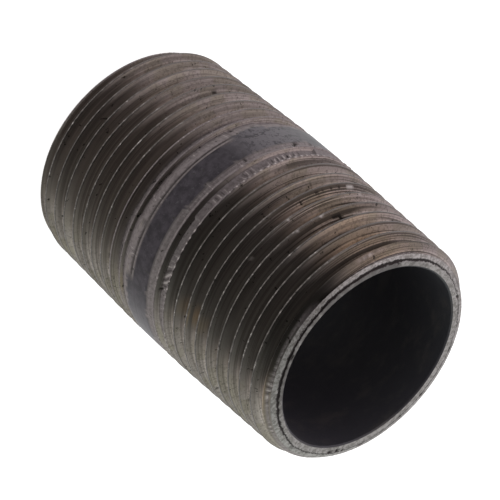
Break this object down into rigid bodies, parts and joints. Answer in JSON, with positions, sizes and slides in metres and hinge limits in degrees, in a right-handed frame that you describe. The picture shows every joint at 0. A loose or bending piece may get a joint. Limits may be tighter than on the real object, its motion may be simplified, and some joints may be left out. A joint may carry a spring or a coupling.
{
  "type": "threaded pipe nipple",
  "caption": "Short steel pipe nipple with an open bore and a right-hand male taper pipe thread at each end, for joining female threaded fittings.",
  "frame": {"origin": "centre of the lower end face", "axes": "+Z along the pipe's axis, from the end with the shorter thread to the end with the longer thread; -Y faces the picture's camera"},
  "size_m": [0.0334, 0.0334, 0.0508],
  "materials": {
    "black_steel": "oiled die-cut thread in bare dark steel, with a band of dark mill lacquer left between the threads"
  },
  "bodies": {
    "root": {"pipe_nipple": "black_steel"}
  },
  "joints": []
}
